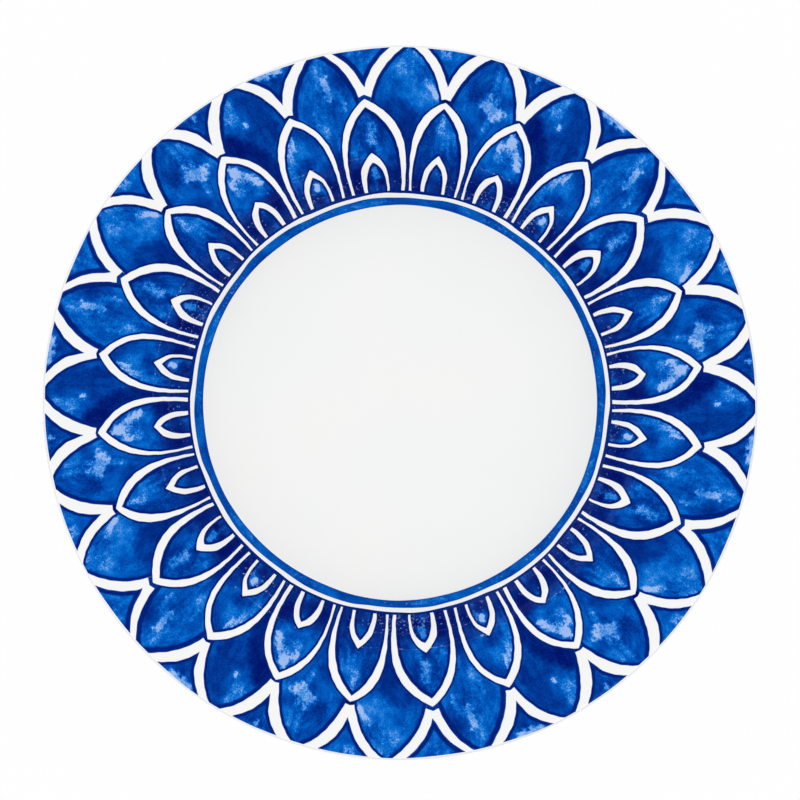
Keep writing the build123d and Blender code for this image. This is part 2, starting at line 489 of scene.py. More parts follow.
def washGroup():
    # cobalt brushed over white: tone from 0, a deep pool, to 1, a thin wash
    tree = newGroup("ShaderNodeTree", "cobaltWash", [
        ("Vector", "Vector", None),  # petal coordinates in millimetres, x across and y up
        ("Ink", "Float", 2.0),  # distance from the edge as a share of the outline's width
        ("Light", "Float", 0.0),
        ("Pool", "Float", 0.0),
        ("Ground", "Float", 0.44),
        ("Mottle", "Float", 0.7),
        ("Ragged", "Float", 1.0),
        ("Ink Tone", "Float", 0.07),
    ], [("Color", "Color")])
    wires = Wiring(tree)
    node, calc = wires.node, wires.calc
    given = node("NodeGroupInput").outputs
    noises = {}
    for name, (scale, detail, roughness, stretch, shift) in washLook["noises"].items():
        placing = {"Vector": given["Vector"], "Scale": stretch, "Location": (shift, -shift, shift)}
        place = node("ShaderNodeMapping", placing).outputs[0]
        noises[name] = wires.evenNoise(place, scale, detail, roughness)

    # marks of the brush's hairs, which run along the outline and fade away from it
    across, up, aside = washLook["hairs"]
    local = node("ShaderNodeSeparateXYZ", {0: given["Vector"]}).outputs
    along = node("ShaderNodeCombineXYZ", {
        "X": calc("MULTIPLY", given["Ink"], across),
        "Y": calc("MULTIPLY", local["Y"], up),
        "Z": calc("MULTIPLY", local["X"], aside),
    }).outputs[0]
    fade = wires.smoothStep(given["Ink"], *washLook["hairsFade"])
    noises["hairs"] = calc("MULTIPLY", wires.evenNoise(along, 1.0, 2.0, 0.6), fade)

    def blended(weights):
        return wires.total([(noises[name], weight) for name, weight in weights.items()])

    ragged = calc("MULTIPLY", blended(washLook["ragged"]), given["Ragged"])

    def dabs(kind, reach):
        shaken = calc("MULTIPLY", ragged, calc("MULTIPLY", given[kind], reach, clamp=True))
        return calc("ADD", given[kind], shaken)

    light, pool = dabs("Light", washLook["lightReach"]), dabs("Pool", washLook["poolReach"])
    tone = calc("ADD", given["Ground"], calc("MULTIPLY", blended(washLook["mottle"]), given["Mottle"]))
    for dab, effect in ((light, "halfLight"), (light, "paleLight"), (pool, "deep")):
        start, full, change = washLook[effect]
        tone = calc("ADD", tone, calc("MULTIPLY", wires.smoothStep(dab, start, full), change))

    # the dark outline over it
    edge = washLook["inkEdge"]
    inkHere = calc("ADD", given["Ink"], blended(washLook["inkWander"]))
    firm = calc("ADD", edge, calc("MULTIPLY", wires.smoothStep(inkHere, *washLook["inkIn"]), 1 - edge))
    ink = calc("MULTIPLY", wires.smoothStep(inkHere, *washLook["inkOut"]), firm)
    inkTone = calc("ADD", given["Ink Tone"], calc("MULTIPLY", noises["grain"], washLook["inkGrain"]))
    tone = wires.total([(tone, calc("SUBTRACT", 1.0, ink)), (inkTone, ink)])
    node("NodeGroupOutput", {"Color": wires.ramp(tone, [(at, tint(*colour)) for at, colour in cobaltSteps])})
    return tree


skinLook = {
    "roughness": 0.10,
    "swells": [(22, 1.0, 0.9), (140, 2.0, 0.12), (900, 2.0, 0.012)],  # scale, detail and height of each
    "roughSwell": 0.05,
    "bumpStrength": 0.35,
    "bumpDepth": 0.4,
}


def skinGroup():
    # the fired glaze's own surface: nearly level, with a slow swell, a ripple and a faint grain
    tree = newGroup("ShaderNodeTree", "glazeSkin", [
        ("Vector", "Vector", None),  # object coordinates, in metres
        ("Roughness", "Float", 0.10),
    ], [("Roughness", "Float"), ("Height", "Float"), ("Shade", "Float")])
    wires = Wiring(tree)
    given = wires.node("NodeGroupInput").outputs
    swells = [wires.evenNoise(given["Vector"], scale, detail) for scale, detail, height in skinLook["swells"]]
    heights = [height for scale, detail, height in skinLook["swells"]]
    rough = wires.calc("MULTIPLY", swells[1], skinLook["roughSwell"])
    wires.node("NodeGroupOutput", {
        "Roughness": wires.calc("ADD", given["Roughness"], rough),
        "Height": wires.total(list(zip(swells, heights))),
        "Shade": swells[0],
    })
    return tree


glintFleckLook = {
    # radius, half width and strength of the rings of painted glints, where lights mirror in the glaze over
    # the bends of the plate
    "rings": [(93.3, 0.6, 0.9), (87.3, 0.8, 0.9), (83.5, 4.0, 0.55), (76.0, 0.7, 0.4)],
    # thin broken arcs of painted glint along the bends
    "glintArcs": [(93.3, 0.25, 0.06), (87.3, 0.25, 0.04)],
    "clusterScale": 42,
    "markScale": 950,
    "clustering": 0.6,
    "markFrom": (0.955, 1.05),
    "markStrength": 0.8,
    "glintArcFrom": (0.5, 0.6),
    # the colour of the painted glints
    "colour": (150, 178, 216),
}


def glintFleckGroup():
    # painted glints: tiny pale marks where lights would mirror in the glaze over the bends of the plate
    tree = newGroup("ShaderNodeTree", "paintedGlints", [
        ("Vector", "Vector", None),  # object coordinates, in metres
    ], [("Mask", "Float")])
    wires = Wiring(tree)
    calc = wires.calc
    place = wires.node("NodeGroupInput").outputs["Vector"]
    radius = wires.radius(place)

    def ringed(rings):
        masks = []
        for at, half, strength in rings:
            away = calc("ABSOLUTE", calc("SUBTRACT", radius, at))
            masks.append(calc("MULTIPLY", wires.smoothStep(away, half, half * 0.4), strength))
        return wires.highest(masks)

    cluster = wires.noise(place, glintFleckLook["clusterScale"], 2.0, 0.6)
    mark = wires.noise(place, glintFleckLook["markScale"], 2.0, 0.6)
    mark = calc("ADD", mark, calc("MULTIPLY", cluster, glintFleckLook["clustering"]))
    mark = calc("MULTIPLY", wires.smoothStep(mark, *glintFleckLook["markFrom"]), glintFleckLook["markStrength"])
    mark = calc("MULTIPLY", ringed(glintFleckLook["rings"]), mark)
    glintArc = wires.smoothStep(cluster, *glintFleckLook["glintArcFrom"])
    glintArc = calc("MULTIPLY", ringed(glintFleckLook["glintArcs"]), glintArc)
    wires.node("NodeGroupOutput", {"Mask": calc("MAXIMUM", mark, glintArc)})
    return tree


cobaltWash = washGroup()
glazeSkin = skinGroup()
paintedGlints = glintFleckGroup()


def newMaterial(name):
    made = bpy.data.materials.new(name)
    made.use_nodes = True
    return made, Wiring(made.node_tree), made.node_tree.nodes["Principled BSDF"]


def addSkin(wires, shader, shine):
    place = wires.node("ShaderNodeTexCoord").outputs["Object"]
    values = {"Vector": place, "Roughness": skinLook["roughness"]}
    skin = wires.node("ShaderNodeGroup", values, node_tree=glazeSkin).outputs
    bump = wires.node("ShaderNodeBump", {
        "Height": skin["Height"],
        "Strength": skinLook["bumpStrength"],
        "Distance": skinLook["bumpDepth"] * mm,
    })
    wires.feed(shader.inputs["Roughness"], skin["Roughness"])
    wires.feed(shader.inputs["Normal"], bump.outputs["Normal"])
    shader.inputs["IOR"].default_value = 1.5
    shader.inputs["Specular IOR Level"].default_value = shine
    return place, skin["Shade"]


# the white glaze coats
glazeLook = {
    "segments": 384,
    "inLay": 0.1,  # how far the coat's hidden side reaches into the clay
    "spacing": 0.55,
    "hiddenSpacing": 1.5,
    "smallBend": 3.0,  # a bend up to this radius gets half the spacing
    "levelSpacing": 9.0,  # over the flat of the well and the underside
    "straightSpacing": 6.0,  # over the wall and the rim
    "bead": 0.16,
    "beadSpacing": 0.1,
    "white": (245, 245, 244),
    "cool": (243, 244, 244),
    "swellShare": (-0.25, 0.25),
    "thin": (218, 221, 226),  # the coat runs thin over the lip and lets the grey clay through, and this grey is also painted shade on the lip's rounded edge
    "thinStart": (1.0, 0.5),  # in from the plate's edge
    "thinEnd": (0.05, 0.4),
    "thinShare": 0.9,
    "shine": 0.28,
}


def glazeMaterial():
    made, wires, shader = newMaterial("whiteGlaze")
    place, shade = addSkin(wires, shader, glazeLook["shine"])
    share = wires.smoothStep(shade, *glazeLook["swellShare"])
    white = wires.mixColour(share, tint(*glazeLook["white"]), tint(*glazeLook["cool"]))
    # the grey ring on the lip is partly thin glaze and partly painted shade, where the rounded edge turns
    # from the light
    radius = wires.radius(place)
    starts = wires.smoothStep(radius, *[plateRadius - inwards for inwards in glazeLook["thinStart"]])
    ends = wires.smoothStep(radius, *[plateRadius - inwards for inwards in glazeLook["thinEnd"]])
    uneven = wires.calc("ADD", glazeLook["thinShare"], shade)
    lip = wires.calc("MULTIPLY", wires.calc("MULTIPLY", starts, ends), uneven, clamp=True)
    wires.feed(shader.inputs["Base Color"], wires.mixColour(lip, white, tint(*glazeLook["thin"])))
    return made


def footSide(side, lift):
    # where a slanting side of the foot, lifted off the clay, would meet the ground, and its slope
    ground = form["wellRadius"] + form["footOutset"] - (0 if side > 0 else form["footWidth"])
    return ground + side * lift / cos(radians(form["footDraft"])), side * tan(radians(form["footDraft"]))


def bead(chain, side):
    # the coat runs down to its lower edge and rounds over into the clay
    draft, size = cos(radians(form["footDraft"])), glazeLook["bead"]
    run = (chain[-1][1] - form["glazeLine"]) / draft - size
    across = form["glaze"] + glazeLook["inLay"] - size
    steps = [(run,), (size, -90 * side), (across,)]
    return chain + walk(chain[-1][:2], chain[-1][2], steps, glazeLook["beadSpacing"])[1:]


def faceCoat(lift, fine):
    # from the middle of the well over the lip and round the back to the outside of the foot
    chain = walk((0, floorHeight + lift), 0, [(form["wellRadius"],)], glazeLook["levelSpacing"])
    for step in faceSteps(lift) + backSteps(lift):
        straight, small = len(step) == 1, step[0] <= glazeLook["smallBend"]
        spacing = glazeLook["straightSpacing"] if straight else fine / 2 if small else fine
        chain += walk(chain[-1][:2], chain[-1][2], [step], spacing)[1:]
    size = form["footFillet"] - lift
    ground, slope = footSide(1, lift + size)
    centre = floorHeight + form["coveRadius"]
    reach = form["coveRadius"] + form["clay"] + lift
    along = ground - form["wellRadius"]
    a, b = 1 + slope * slope, 2 * (along * slope - centre)
    c = along * along + centre * centre - (reach + size) ** 2
    filletZ = (-b - sqrt(b * b - 4 * a * c)) / (2 * a)
    tilt = degrees(atan2(along + slope * filletZ, centre - filletZ))
    steps = [(reach, tilt - form["wallAngle"]), (size, 90 - form["footDraft"] - tilt)]
    return chain + walk(chain[-1][:2], chain[-1][2], steps, fine)[1:]


def baseCoat(lift, fine):
    # from the middle of the underside to the inside of the foot
    size = form["footFillet"] - lift
    level = form["footHeight"] - lift
    ground, slope = footSide(-1, lift + size)
    edge = ground + slope * (level - size)
    chain = walk((0, level), 0, [(edge,)], glazeLook["levelSpacing"])
    return chain + walk(chain[-1][:2], 0, [(size, form["footDraft"] - 90)], fine)[1:]


def revolved(name, chain, material):
    made = meshObject(name, [(r * mm, 0, z * mm) for r, z, way in chain], [])
    return grown(made, revolveSection, {"Segments": glazeLook["segments"], "Material": material})


def makeGlaze():
    shown, hidden = form["glaze"], -glazeLook["inLay"]
    fine, coarse = glazeLook["spacing"], glazeLook["hiddenSpacing"]
    face = bead(faceCoat(shown, fine), 1) + faceCoat(hidden, coarse)[::-1]
    base = bead(baseCoat(shown, fine), -1) + baseCoat(hidden, coarse)[::-1]
    material = glazeMaterial()
    seat(revolved("plateGlaze", face, material), "face_glaze")
    seat(revolved("footWellGlaze", base[::-1], material), "base_glaze")


makeGlaze()
print("glazes ready")


# the bare clay under the foot
clayLook = {
    "pale": (232, 226, 214),
    "dark": (214, 205, 190),
    "gritScale": 2600,
    "cloudScale": 120,
    "speckFrom": (0.62, 0.72),
    "cloudShare": 0.7,
    "speckShare": 0.5,
    "roughness": 0.68,
    "roughCloud": 0.15,
    "bumpStrength": 0.4,
    "bumpDepth": 0.1,
}


def finishClay():
    material, wires, shader = newMaterial("bareClay")
    calc = wires.calc
    place = wires.node("ShaderNodeTexCoord").outputs["Object"]
    grit = wires.noise(place, clayLook["gritScale"], 3.0)
    cloud = wires.noise(place, clayLook["cloudScale"], 3.0)
    speck = calc("MULTIPLY", wires.smoothStep(grit, *clayLook["speckFrom"]), clayLook["speckShare"])
    share = calc("ADD", calc("MULTIPLY", cloud, clayLook["cloudShare"]), speck, clamp=True)
    colour = wires.mixColour(share, tint(*clayLook["pale"]), tint(*clayLook["dark"]))
    bump = wires.node("ShaderNodeBump", {
        "Height": grit,
        "Strength": clayLook["bumpStrength"],
        "Distance": clayLook["bumpDepth"] * mm,
    })
    wires.feed(shader.inputs["Base Color"], colour)
    rough = calc("MULTIPLY", cloud, clayLook["roughCloud"])
    wires.feed(shader.inputs["Roughness"], calc("ADD", rough, clayLook["roughness"]))
    wires.feed(shader.inputs["Normal"], bump.outputs["Normal"])
    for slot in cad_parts["clay_body"].material_slots:
        slot.material = material


finishClay()
print("foot ready")


# the coats of colour, and the ring of six strips that they are laid in
film = {
    "proud": 0.05,  # how far a coat of colour stands over the glaze, and how far it reaches into it
    "under": 0.06,
    "spacing": 0.7,
    "edgeSpacing": 0.5,
    "clear": 0.4,  # share of the spacing that inner points keep from an outline
    "lipFrom": 132.0,  # from here the rim rolls over into the lip and has closer rows: first, end and step
    "lipRows": (132.3, 134.0, 0.35),
    "creep": 0.1,  # how far wet colour creeps over a white outline
    "creepAtTip": 1.5,  # how many times as far at a petal's tip, and at a spandrel's apex
    "creepAtApex": 3,
    "limit": (0.03, 0.10, 0.06),  # how far in the paint's outer edge stays, and its slow and quick waves
    "limitPoints": 60,
    "beside": 0.9,  # width of the thin line along a neighbour's outline
    "besideStart": 0.3,
    "footDip": 0.6,  # how far the petals and their white outlines reach over the base line
    "startDip": 1.5,  # outlines start this much further in, under the base line
    "washShift": (31.0, 17.0),  # from one petal's wash to the next, so that no two are alike
    "ringTurn": 0.77,  # the ring of strips as it was laid, in degrees
    "stretchOnce": 0.6,
    "stretchFrom": 54.5,
    "stretchTwice": 0.2,
    "shine": 0.11,
}
# waves over the plan, sideways and then upwards: each has its strength, its run in x and in y, and its start
brushedEdge = {
    "reach": (0.05, 0.05),
    "waves": [
        [(1, 0.7, 0.9, 1.0), (1, 1.4, -1.1, 2.0)],
        [(1, 1.1, -0.8, 3.0), (1, 1.0, 1.3, 4.0)],
    ],
}
shakyDab = {  # so that no dab has a plain round edge
    "reach": (0.28, 0.42),
    "waves": [
        [(1, 1.1, 2.3, 0), (1, -2.6, 1.2, 1.3), (0.6, 4.1, 2.2, 0)],
        [(1, 1.9, -0.9, 2.1), (1, 2.4, 1.6, 0.4), (0.6, -3.1, 3.6, 0)],
    ],
}
strips = 6
stripAngle = 360 / strips
petalsPerStrip = 4
feet = petalFoot - film["footDip"]


def polar(azimuth, radius):
    # azimuth runs clockwise from the +Y axis, as seen from above
    return (radius * sin(radians(azimuth)), radius * cos(radians(azimuth)))


def radiusOf(points):
    return np.hypot(points[:, 0], points[:, 1])


def azimuthOf(points):
    return np.degrees(np.arctan2(points[:, 0], points[:, 1]))


def curve(*handles):
    # a smooth line through two ends, steered by two handles between them
    a, b, c, d = (np.array(h, float) for h in handles)
    count = max(8, round(np.linalg.norm(d - a) / film["edgeSpacing"]))
    t = np.linspace(0, 1, count + 1)[:, None]
    return (1 - t) ** 3 * a + 3 * (1 - t) ** 2 * t * b + 3 * (1 - t) * t * t * c + t ** 3 * d


def arc(radius, low, high):
    count = max(2, round(radius * radians(high - low) / film["edgeSpacing"]))
    return np.array([polar(a, radius) for a in np.linspace(low, high, count + 1)])


def paintLimit(azimuths):
    wave = np.radians(np.asarray(azimuths, float) * strips)
    inwards, slow, quick = film["limit"]
    return paintEdge - inwards + slow * np.sin(2 * wave + 1) + quick * np.sin(5 * wave + 2)


def limitLine(low, high):
    azimuths = np.linspace(low, high, film["limitPoints"])
    return np.array([polar(a, r) for a, r in zip(azimuths, paintLimit(azimuths))])


def turned(points, azimuth):
    s, c = sin(radians(azimuth)), cos(radians(azimuth))
    points = np.asarray(points, float)
    return np.column_stack([points[:, 0] * c + points[:, 1] * s, points[:, 1] * c - points[:, 0] * s])


def wandered(points, look):
    x, y = points[:, 0], points[:, 1]
    moved = []
    for reach, waves in zip(look["reach"], look["waves"]):
        moved.append(reach * sum(size * np.sin(a * x + b * y + start) for size, a, b, start in waves))
    return points + np.column_stack(moved)


def inside(points, outline):
    x, y = points[:, 0][:, None], points[:, 1][:, None]
    x1, y1 = outline[:, 0], outline[:, 1]
    x2, y2 = np.roll(x1, -1), np.roll(y1, -1)
    with np.errstate(divide="ignore", invalid="ignore"):
        cross = (y1 > y) != (y2 > y)
        at = x1 + (y - y1) * (x2 - x1) / (y2 - y1)
    return (np.sum(cross & (x < at), axis=1) % 2).astype(bool)


def distanceTo(points, line):
    best = np.full(len(points), 1e9)
    for start, step in zip(line[:-1], np.diff(line, axis=0)):
        share = np.clip(((points - start) @ step) / max(step @ step, 1e-12), 0, 1)
        gap = points - (start + share[:, None] * step)
        best = np.minimum(best, np.hypot(gap[:, 0], gap[:, 1]))
    return best


def dabbed(points, dabs):
    # how strongly a set of brush dabs covers each point: strength, half width, softness, then its path
    found = np.zeros(len(points))
    points = wandered(points, shakyDab)
    for strength, half, soft, *path in dabs:
        line = np.array([polar(*p) for p in path])
        line = np.vstack([line, line[-1:]]) if len(line) == 1 else line
        cover = np.clip(1 - (distanceTo(points, line) - half) / soft, 0, 1)
        found = np.maximum(found, strength * cover)
    return found


def innerPoints(points):
    # an even scatter of points over the box round a plan, in closer rows along the lip
    low, high = points.min(0), points.max(0)
    gap = film["spacing"]
    rows = []
    for k, y in enumerate(np.arange(low[1], high[1], gap * sqrt(3) / 2)):
        across = np.arange(low[0] + (k % 2) * gap / 2, high[0], gap)
        rows.append(np.column_stack([across, np.full(len(across), y)]))
    grid = np.vstack(rows)
    azimuths = azimuthOf(points)
    lipRows = [arc(radius, azimuths.min(), azimuths.max()) for radius in np.arange(*film["lipRows"])]
    return np.vstack([grid[radiusOf(grid) < film["lipFrom"]]] + lipRows)


def filled(lines, keep):
    # triangles over the part of a plan that keep() accepts, with the lines as their edges
    points = np.vstack(lines)
    edges, start = [], 0
    for line in lines:
        edges += [(start + i, start + i + 1) for i in range(len(line) - 1)]
        start += len(line)
    grid = innerPoints(points)
    near = np.min([distanceTo(grid, line) for line in lines], axis=0)
    grid = grid[(near > film["spacing"] * film["clear"]) & keep(grid)]
    every = [Vector(p) for p in np.vstack([points, grid])]
    verts, _, faces, *_ = delaunay_2d_cdt(every, edges, [], 0, 1e-6)
    verts = np.array([tuple(v) for v in verts])
    faces = np.array([f for f in faces if len(f) == 3])
    faces = faces[keep(verts[faces].mean(1))]
    corner = verts[faces]
    one, two = corner[:, 1] - corner[:, 0], corner[:, 2] - corner[:, 0]
    area = one[:, 0] * two[:, 1] - one[:, 1] * two[:, 0]
    solid = np.abs(area) > 1e-5
    faces, area = faces[solid], area[solid]
    faces[area < 0] = faces[area < 0][:, ::-1]
    used, faces = np.unique(faces, return_inverse=True)
    return verts[used], faces.reshape(-1, 3)


def lifted(plan, height):
    return np.column_stack([plan[:, 0], plan[:, 1], faceHeight(radiusOf(plan)) + height])


def pulled(items, key, width=1, kind=float):
    values = np.zeros(len(items) * width, kind)
    items.foreach_get(key, values)
    return values.reshape(-1, width) if width > 1 else values


class Strip:
    # one sixth of a painted ring: closed slabs of colour with their brush values
    def __init__(self):
        self.points, self.faces, self.brush = [], [], []
        self.values = {"ink": [], "light": [], "pool": []}
        self.count = 0

    def add(self, plan, faces, values, brush, border=None):
        # border lists the edges that get a side wall, or they are found
        number = len(plan)
        if border is None:
            edges = {e: True for a, b, c in faces for e in ((a, b), (b, c), (c, a))}
            border = [e for e in edges if (e[1], e[0]) not in edges]
        top, under = self.count, self.count + number
        self.points += [lifted(plan, film["proud"]), lifted(plan, -film["under"])]
        self.faces += [tuple(top + i for i in f) for f in faces]
        self.faces += [tuple(under + i for i in reversed(f)) for f in faces]
        self.faces += [(top + b, top + a, under + a, under + b) for a, b in border]
        for label, given in values.items():
            self.values[label] += [given, given]
        self.brush += [brush, brush]
        self.count += 2 * number

    def lay(self, name, material):
        # sets the strips round the plate and returns the finished mesh object
        made = meshObject(name, np.vstack(self.points) * mm, self.faces)
        data = made.data
        for label, values in self.values.items():
            layer = data.attributes.new(label, "FLOAT", "POINT")
            layer.data.foreach_set("value", np.concatenate(values).astype(np.float32))
        corners = pulled(data.loops, "vertex_index", kind=np.int32)
        layer = data.uv_layers.new(name="brush")
        layer.data.foreach_set("uv", np.vstack(self.brush)[corners].astype(np.float32).ravel())
        grown(made, layStripsRound, {
            "Count": strips,
            "Turn": radians(film["ringTurn"]),
            "Stretch Once": radians(film["stretchOnce"]),
            "Stretch From": radians(film["stretchFrom"]),
            "Stretch Twice": radians(film["stretchTwice"]),
            "Material": material,
        })
        setNormals(made)
        return made


def setNormals(made):
    # the film shines exactly as the curved glaze under it would
    data = made.data
    sizes = pulled(data.polygons, "loop_total", kind=np.int32)
    flat = np.repeat(pulled(data.polygons, "normal", 3), sizes, axis=0)
    at = pulled(data.vertices, "co", 3)[pulled(data.loops, "vertex_index", kind=np.int32)]
    radius = radiusOf(at)
    slope = faceSlope(radius / mm)
    outwards = -np.sin(slope) / radius
    curved = np.column_stack([outwards * at[:, 0], outwards * at[:, 1], np.cos(slope)])
    level = np.abs(flat[:, 2]) > 0.3  # the upright walls keep their own normals
    normals = np.where(level[:, None], curved * np.sign(flat[:, 2:3]), flat)
    data.polygons.foreach_set("use_smooth", np.ones(len(data.polygons), bool))
    data.normals_split_custom_set(normals.tolist())


def paintMaterial(name, paint):
    made, wires, shader = newMaterial(name)
    place = addSkin(wires, shader, film["shine"])[0]
    values = {"Vector": wires.node("ShaderNodeUVMap", uv_map="brush").outputs[0]}
    for label in ("Ink", "Light", "Pool"):
        values[label] = wires.node("ShaderNodeAttribute", attribute_name=label.lower()).outputs["Fac"]
    values["Ground"], values["Mottle"], values["Ragged"], values["Ink Tone"] = paint
    wash = wires.node("ShaderNodeGroup", values, node_tree=cobaltWash).outputs["Color"]
    glintMask = wires.node("ShaderNodeGroup", {"Vector": place}, node_tree=paintedGlints).outputs["Mask"]
    # painted glints: pale flecks over the bends, mixed into the cobalt's colour where lights would mirror
    wires.feed(shader.inputs["Base Color"], wires.mixColour(glintMask, wash, tint(*glintFleckLook["colour"])))
    return made


# the two lines round the well
wellLine = {
    # each edge is a row of (azimuth, radius)
    "inner": [(0, 74.8), (12, 74.7), (22, 74.4), (45, 74.5), (55, 74.7)],
    "outer": [(0, 77.5), (7, 77.4), (13, 78.0), (25, 77.9), (34, 77.3), (45, 77.6), (50, 77.9)],
    # each dab is (strength, half width, softness), and then its path in (azimuth, radius)
    "light": [(0.36, 0.5, 1.2, (24, 76), (31, 76.2)), (0.42, 0.6, 1.2, (46, 76), (55, 76.1))],
    "pool": [(0.16, 0.5, 1.5, (9, 76), (16, 76.2)), (0.14, 0.6, 1.5, (36, 75.8), (40, 76))],
    "ink": 0.3,  # width of the dark outline
    "paint": (0.52, 0.5, 0.8, 0.42),  # the wash's tone, how mottled and ragged it is, the outline's tone
}
baseLine = {
    "inner": [(0, 79.2), (8, 79.0), (15, 79.4), (30, 79.3), (35, 78.8), (45, 79.0), (55, 79.5)],
    "outer": [(0, feet)],
    "light": [(0.3, 0.3, 0.7, (28, 80), (34, 80)), (0.3, 0.3, 0.6, (44, 80), (48, 79.9))],
    "pool": [(0.5, 0.5, 1.5, (2, 80), (22, 80))],
    "ink": 0.6,
    "paint": (0.28, 0.6, 1.0, 0.12),
}


def softWave(azimuth, knots):
    # an edge that wanders smoothly between (azimuth, radius) knots, the same in every strip
    places = np.array([k[0] for k in knots] + [stripAngle + knots[0][0]], float)
    radii = np.array([k[1] for k in knots] + [knots[0][1]], float)
    azimuth = (np.asarray(azimuth, float) - places[0]) % stripAngle + places[0]
    i = np.clip(np.searchsorted(places, azimuth, side="right") - 1, 0, len(places) - 2)
    share = (azimuth - places[i]) / (places[i + 1] - places[i])
    share = share * share * (3 - 2 * share)
    return radii[i] + share * (radii[i + 1] - radii[i])


def makeLine(name, node, look, material, columns=180, rows=6):
    azimuths = np.linspace(0, stripAngle, columns + 1)
    inner, outer = softWave(azimuths, look["inner"]), softWave(azimuths, look["outer"])
    plan, brush = [], []
    for k in range(rows + 1):
        radius = inner + (outer - inner) * k / rows
        plan += [polar(a, r) for a, r in zip(azimuths, radius)]
        brush.append(np.column_stack([radius, azimuths * radians(1) * radius]))
    plan = np.array(plan)
    wide = columns + 1
    last = rows * wide
    starts = [k * wide + i for k in range(rows) for i in range(columns)]
    faces = [(a, a + 1, a + wide + 1, a + wide) for a in starts]
    border = [(i, i + 1) for i in range(columns)]
    border += [(last + i + 1, last + i) for i in range(columns)]
    radius = radiusOf(plan)
    inwards = (radius - np.tile(inner, rows + 1)) / look["ink"]
    outwards = (np.tile(outer, rows + 1) - radius) / look["ink"]
    strip = Strip()
    values = {
        "ink": np.minimum(inwards, outwards),
        "light": dabbed(plan, look["light"]),
        "pool": dabbed(plan, look["pool"]),
    }
    strip.add(plan, faces, values, np.vstack(brush), border)
    made = strip.lay(name, material)
    closer = bmesh.new()
    closer.from_mesh(made.data)
    bmesh.ops.remove_doubles(closer, verts=closer.verts, dist=1e-6)
    closer.to_mesh(made.data)
    closer.free()
    setNormals(made)
    seat(made, node)


makeLine("wellBand", "well_band", wellLine, paintMaterial("bandBlue", wellLine["paint"]))
makeLine("petalBaseLine", "petal_base_line", baseLine, paintMaterial("baseLineBlue", baseLine["paint"]))
print("well lines ready")


# the petals, four of each kind in a strip
innerOutline = {
    "axes": (8.3, 23, 37.95, 52.75),  # azimuth of each petal's middle
    "tips": (114.6, 114.8, 115.2, 115.6),  # radius of its tip
    # each side is (half width at the foot, belly handle, crown handle), a handle is (half width, height)
    "left": [(8.8, (10.4, 92.5), (14, 107.5)), (9, (11.4, 93), (12, 106)),
             (8.7, (12.3, 92), (12.5, 107.5)), (8.8, (11.8, 93.5), (13.2, 106.5))],
    "right": [(9.3, (12.3, 93), (14, 106.5)), (9.8, (12.5, 94.5), (13.6, 105.5)),
              (8.9, (10.9, 94.5), (13.8, 104.5)), (11.2, (14.6, 95.5), (15.9, 105.5))],
}
innerBlue = {
    "axes": innerOutline["axes"],
    "tips": (111.9, 111.5, 111.6, 112.2),
    "left": [(7.6, (9.8, 90.5), (8.8, 105)), (7.8, (11.2, 94), (8, 104)),
             (7.7, (10.2, 94), (9.1, 104)), (7.4, (11, 92.5), (8.8, 105))],
    "right": [(8.3, (11, 94), (8.6, 104.5)), (8.2, (10.8, 93), (9.8, 105.5)),
              (7.5, (10, 92), (10, 106)), (9.8, (12.4, 94.5), (10.9, 104.5))],
    "paint": (0.41, 0.7, 0.8, 0.09),
    "wash": 6,  # the first petal's place in the noise
    "spread": 8,  # half the angle of the arc at its foot
    "ink": ((0.9, 1.2), (0.8, 0.9), (0.9, 0.8), (1, 1.3)),  # width of its outline, left and right
    # each petal's dabs
    "light": [
        [(0.64, 0.9, 2.6, (8.1, 108), (8, 103.8)), (0.4, 0.4, 1.6, (9.4, 103), (9.9, 101)),
         (0.72, 0.35, 1.4, (10, 97.5)), (0.45, 0.2, 1.2, (10.4, 95.5), (11.4, 93.8)),
         (0.4, 0.1, 1, (11.2, 103), (12.3, 96), (12.9, 89)), (0.32, 0.6, 2, (5.8, 102)),
         (0.45, 2.2, 4, (8.8, 101), (6.8, 97))],
        [(0.9, 1.3, 1.5, (23.1, 107.8), (22.8, 105.8)), (0.8, 0.9, 1.8, (22.4, 105), (21.2, 102.8)),
         (0.85, 1, 1.6, (23.8, 105.4), (25.2, 102.2), (26.4, 98.6)), (0.75, 1.2, 2, (23.8, 103)),
         (0.5, 1.3, 2.2, (24.2, 101), (21.8, 99.5)), (0.2, 1, 3, (25.5, 95.5))],
        [(0.75, 0.6, 1.7, (36.6, 107), (36.3, 104)), (0.6, 0.4, 1.6, (35.6, 103.8), (35.3, 102)),
         (0.45, 0.7, 2.2, (35.2, 100), (34.5, 97), (34.2, 92.5)),
         (0.35, 0.6, 2.2, (38.2, 105.5), (38.6, 104)), (0.22, 1.5, 4, (38.5, 101))],
        [(0.78, 1.1, 2.4, (53.4, 105), (53.5, 102), (53.3, 99.5)), (0.36, 2, 4, (52.5, 103)),
         (0.55, 0.4, 1.8, (52.7, 100), (52.4, 98.6)), (0.5, 0.4, 1.8, (54.3, 104), (54.2, 99)),
         (0.4, 0.4, 1.6, (54.2, 98), (54.8, 95.2)), (0.48, 0.3, 1.6, (50.6, 103.5), (50, 101.5)),
         (0.48, 0.3, 1.6, (50.3, 99.8), (50.1, 97), (49, 95.5)), (0.35, 0.5, 2, (51.7, 107), (53, 108.5))],
    ],
    "pool": [
        [(0.8, 3, 6, (6, 82), (11, 82)), (0.5, 0.5, 3, (12.5, 90)), (0.4, 0.5, 3, (4.6, 88))],
        [(0.95, 6, 6, (20, 84), (27, 84)), (0.6, 0.5, 3.5, (19.2, 94))],
        [(0.8, 3, 6, (35, 82), (41, 82)), (0.6, 0.5, 4, (38, 96.5)), (0.4, 1, 4, (41.5, 92))],
        [(0.8, 4, 6, (49, 83), (57, 83)), (0.6, 0.8, 2.5, (52.9, 95.5)), (0.5, 0.6, 3, (57.3, 92))],
    ],
}
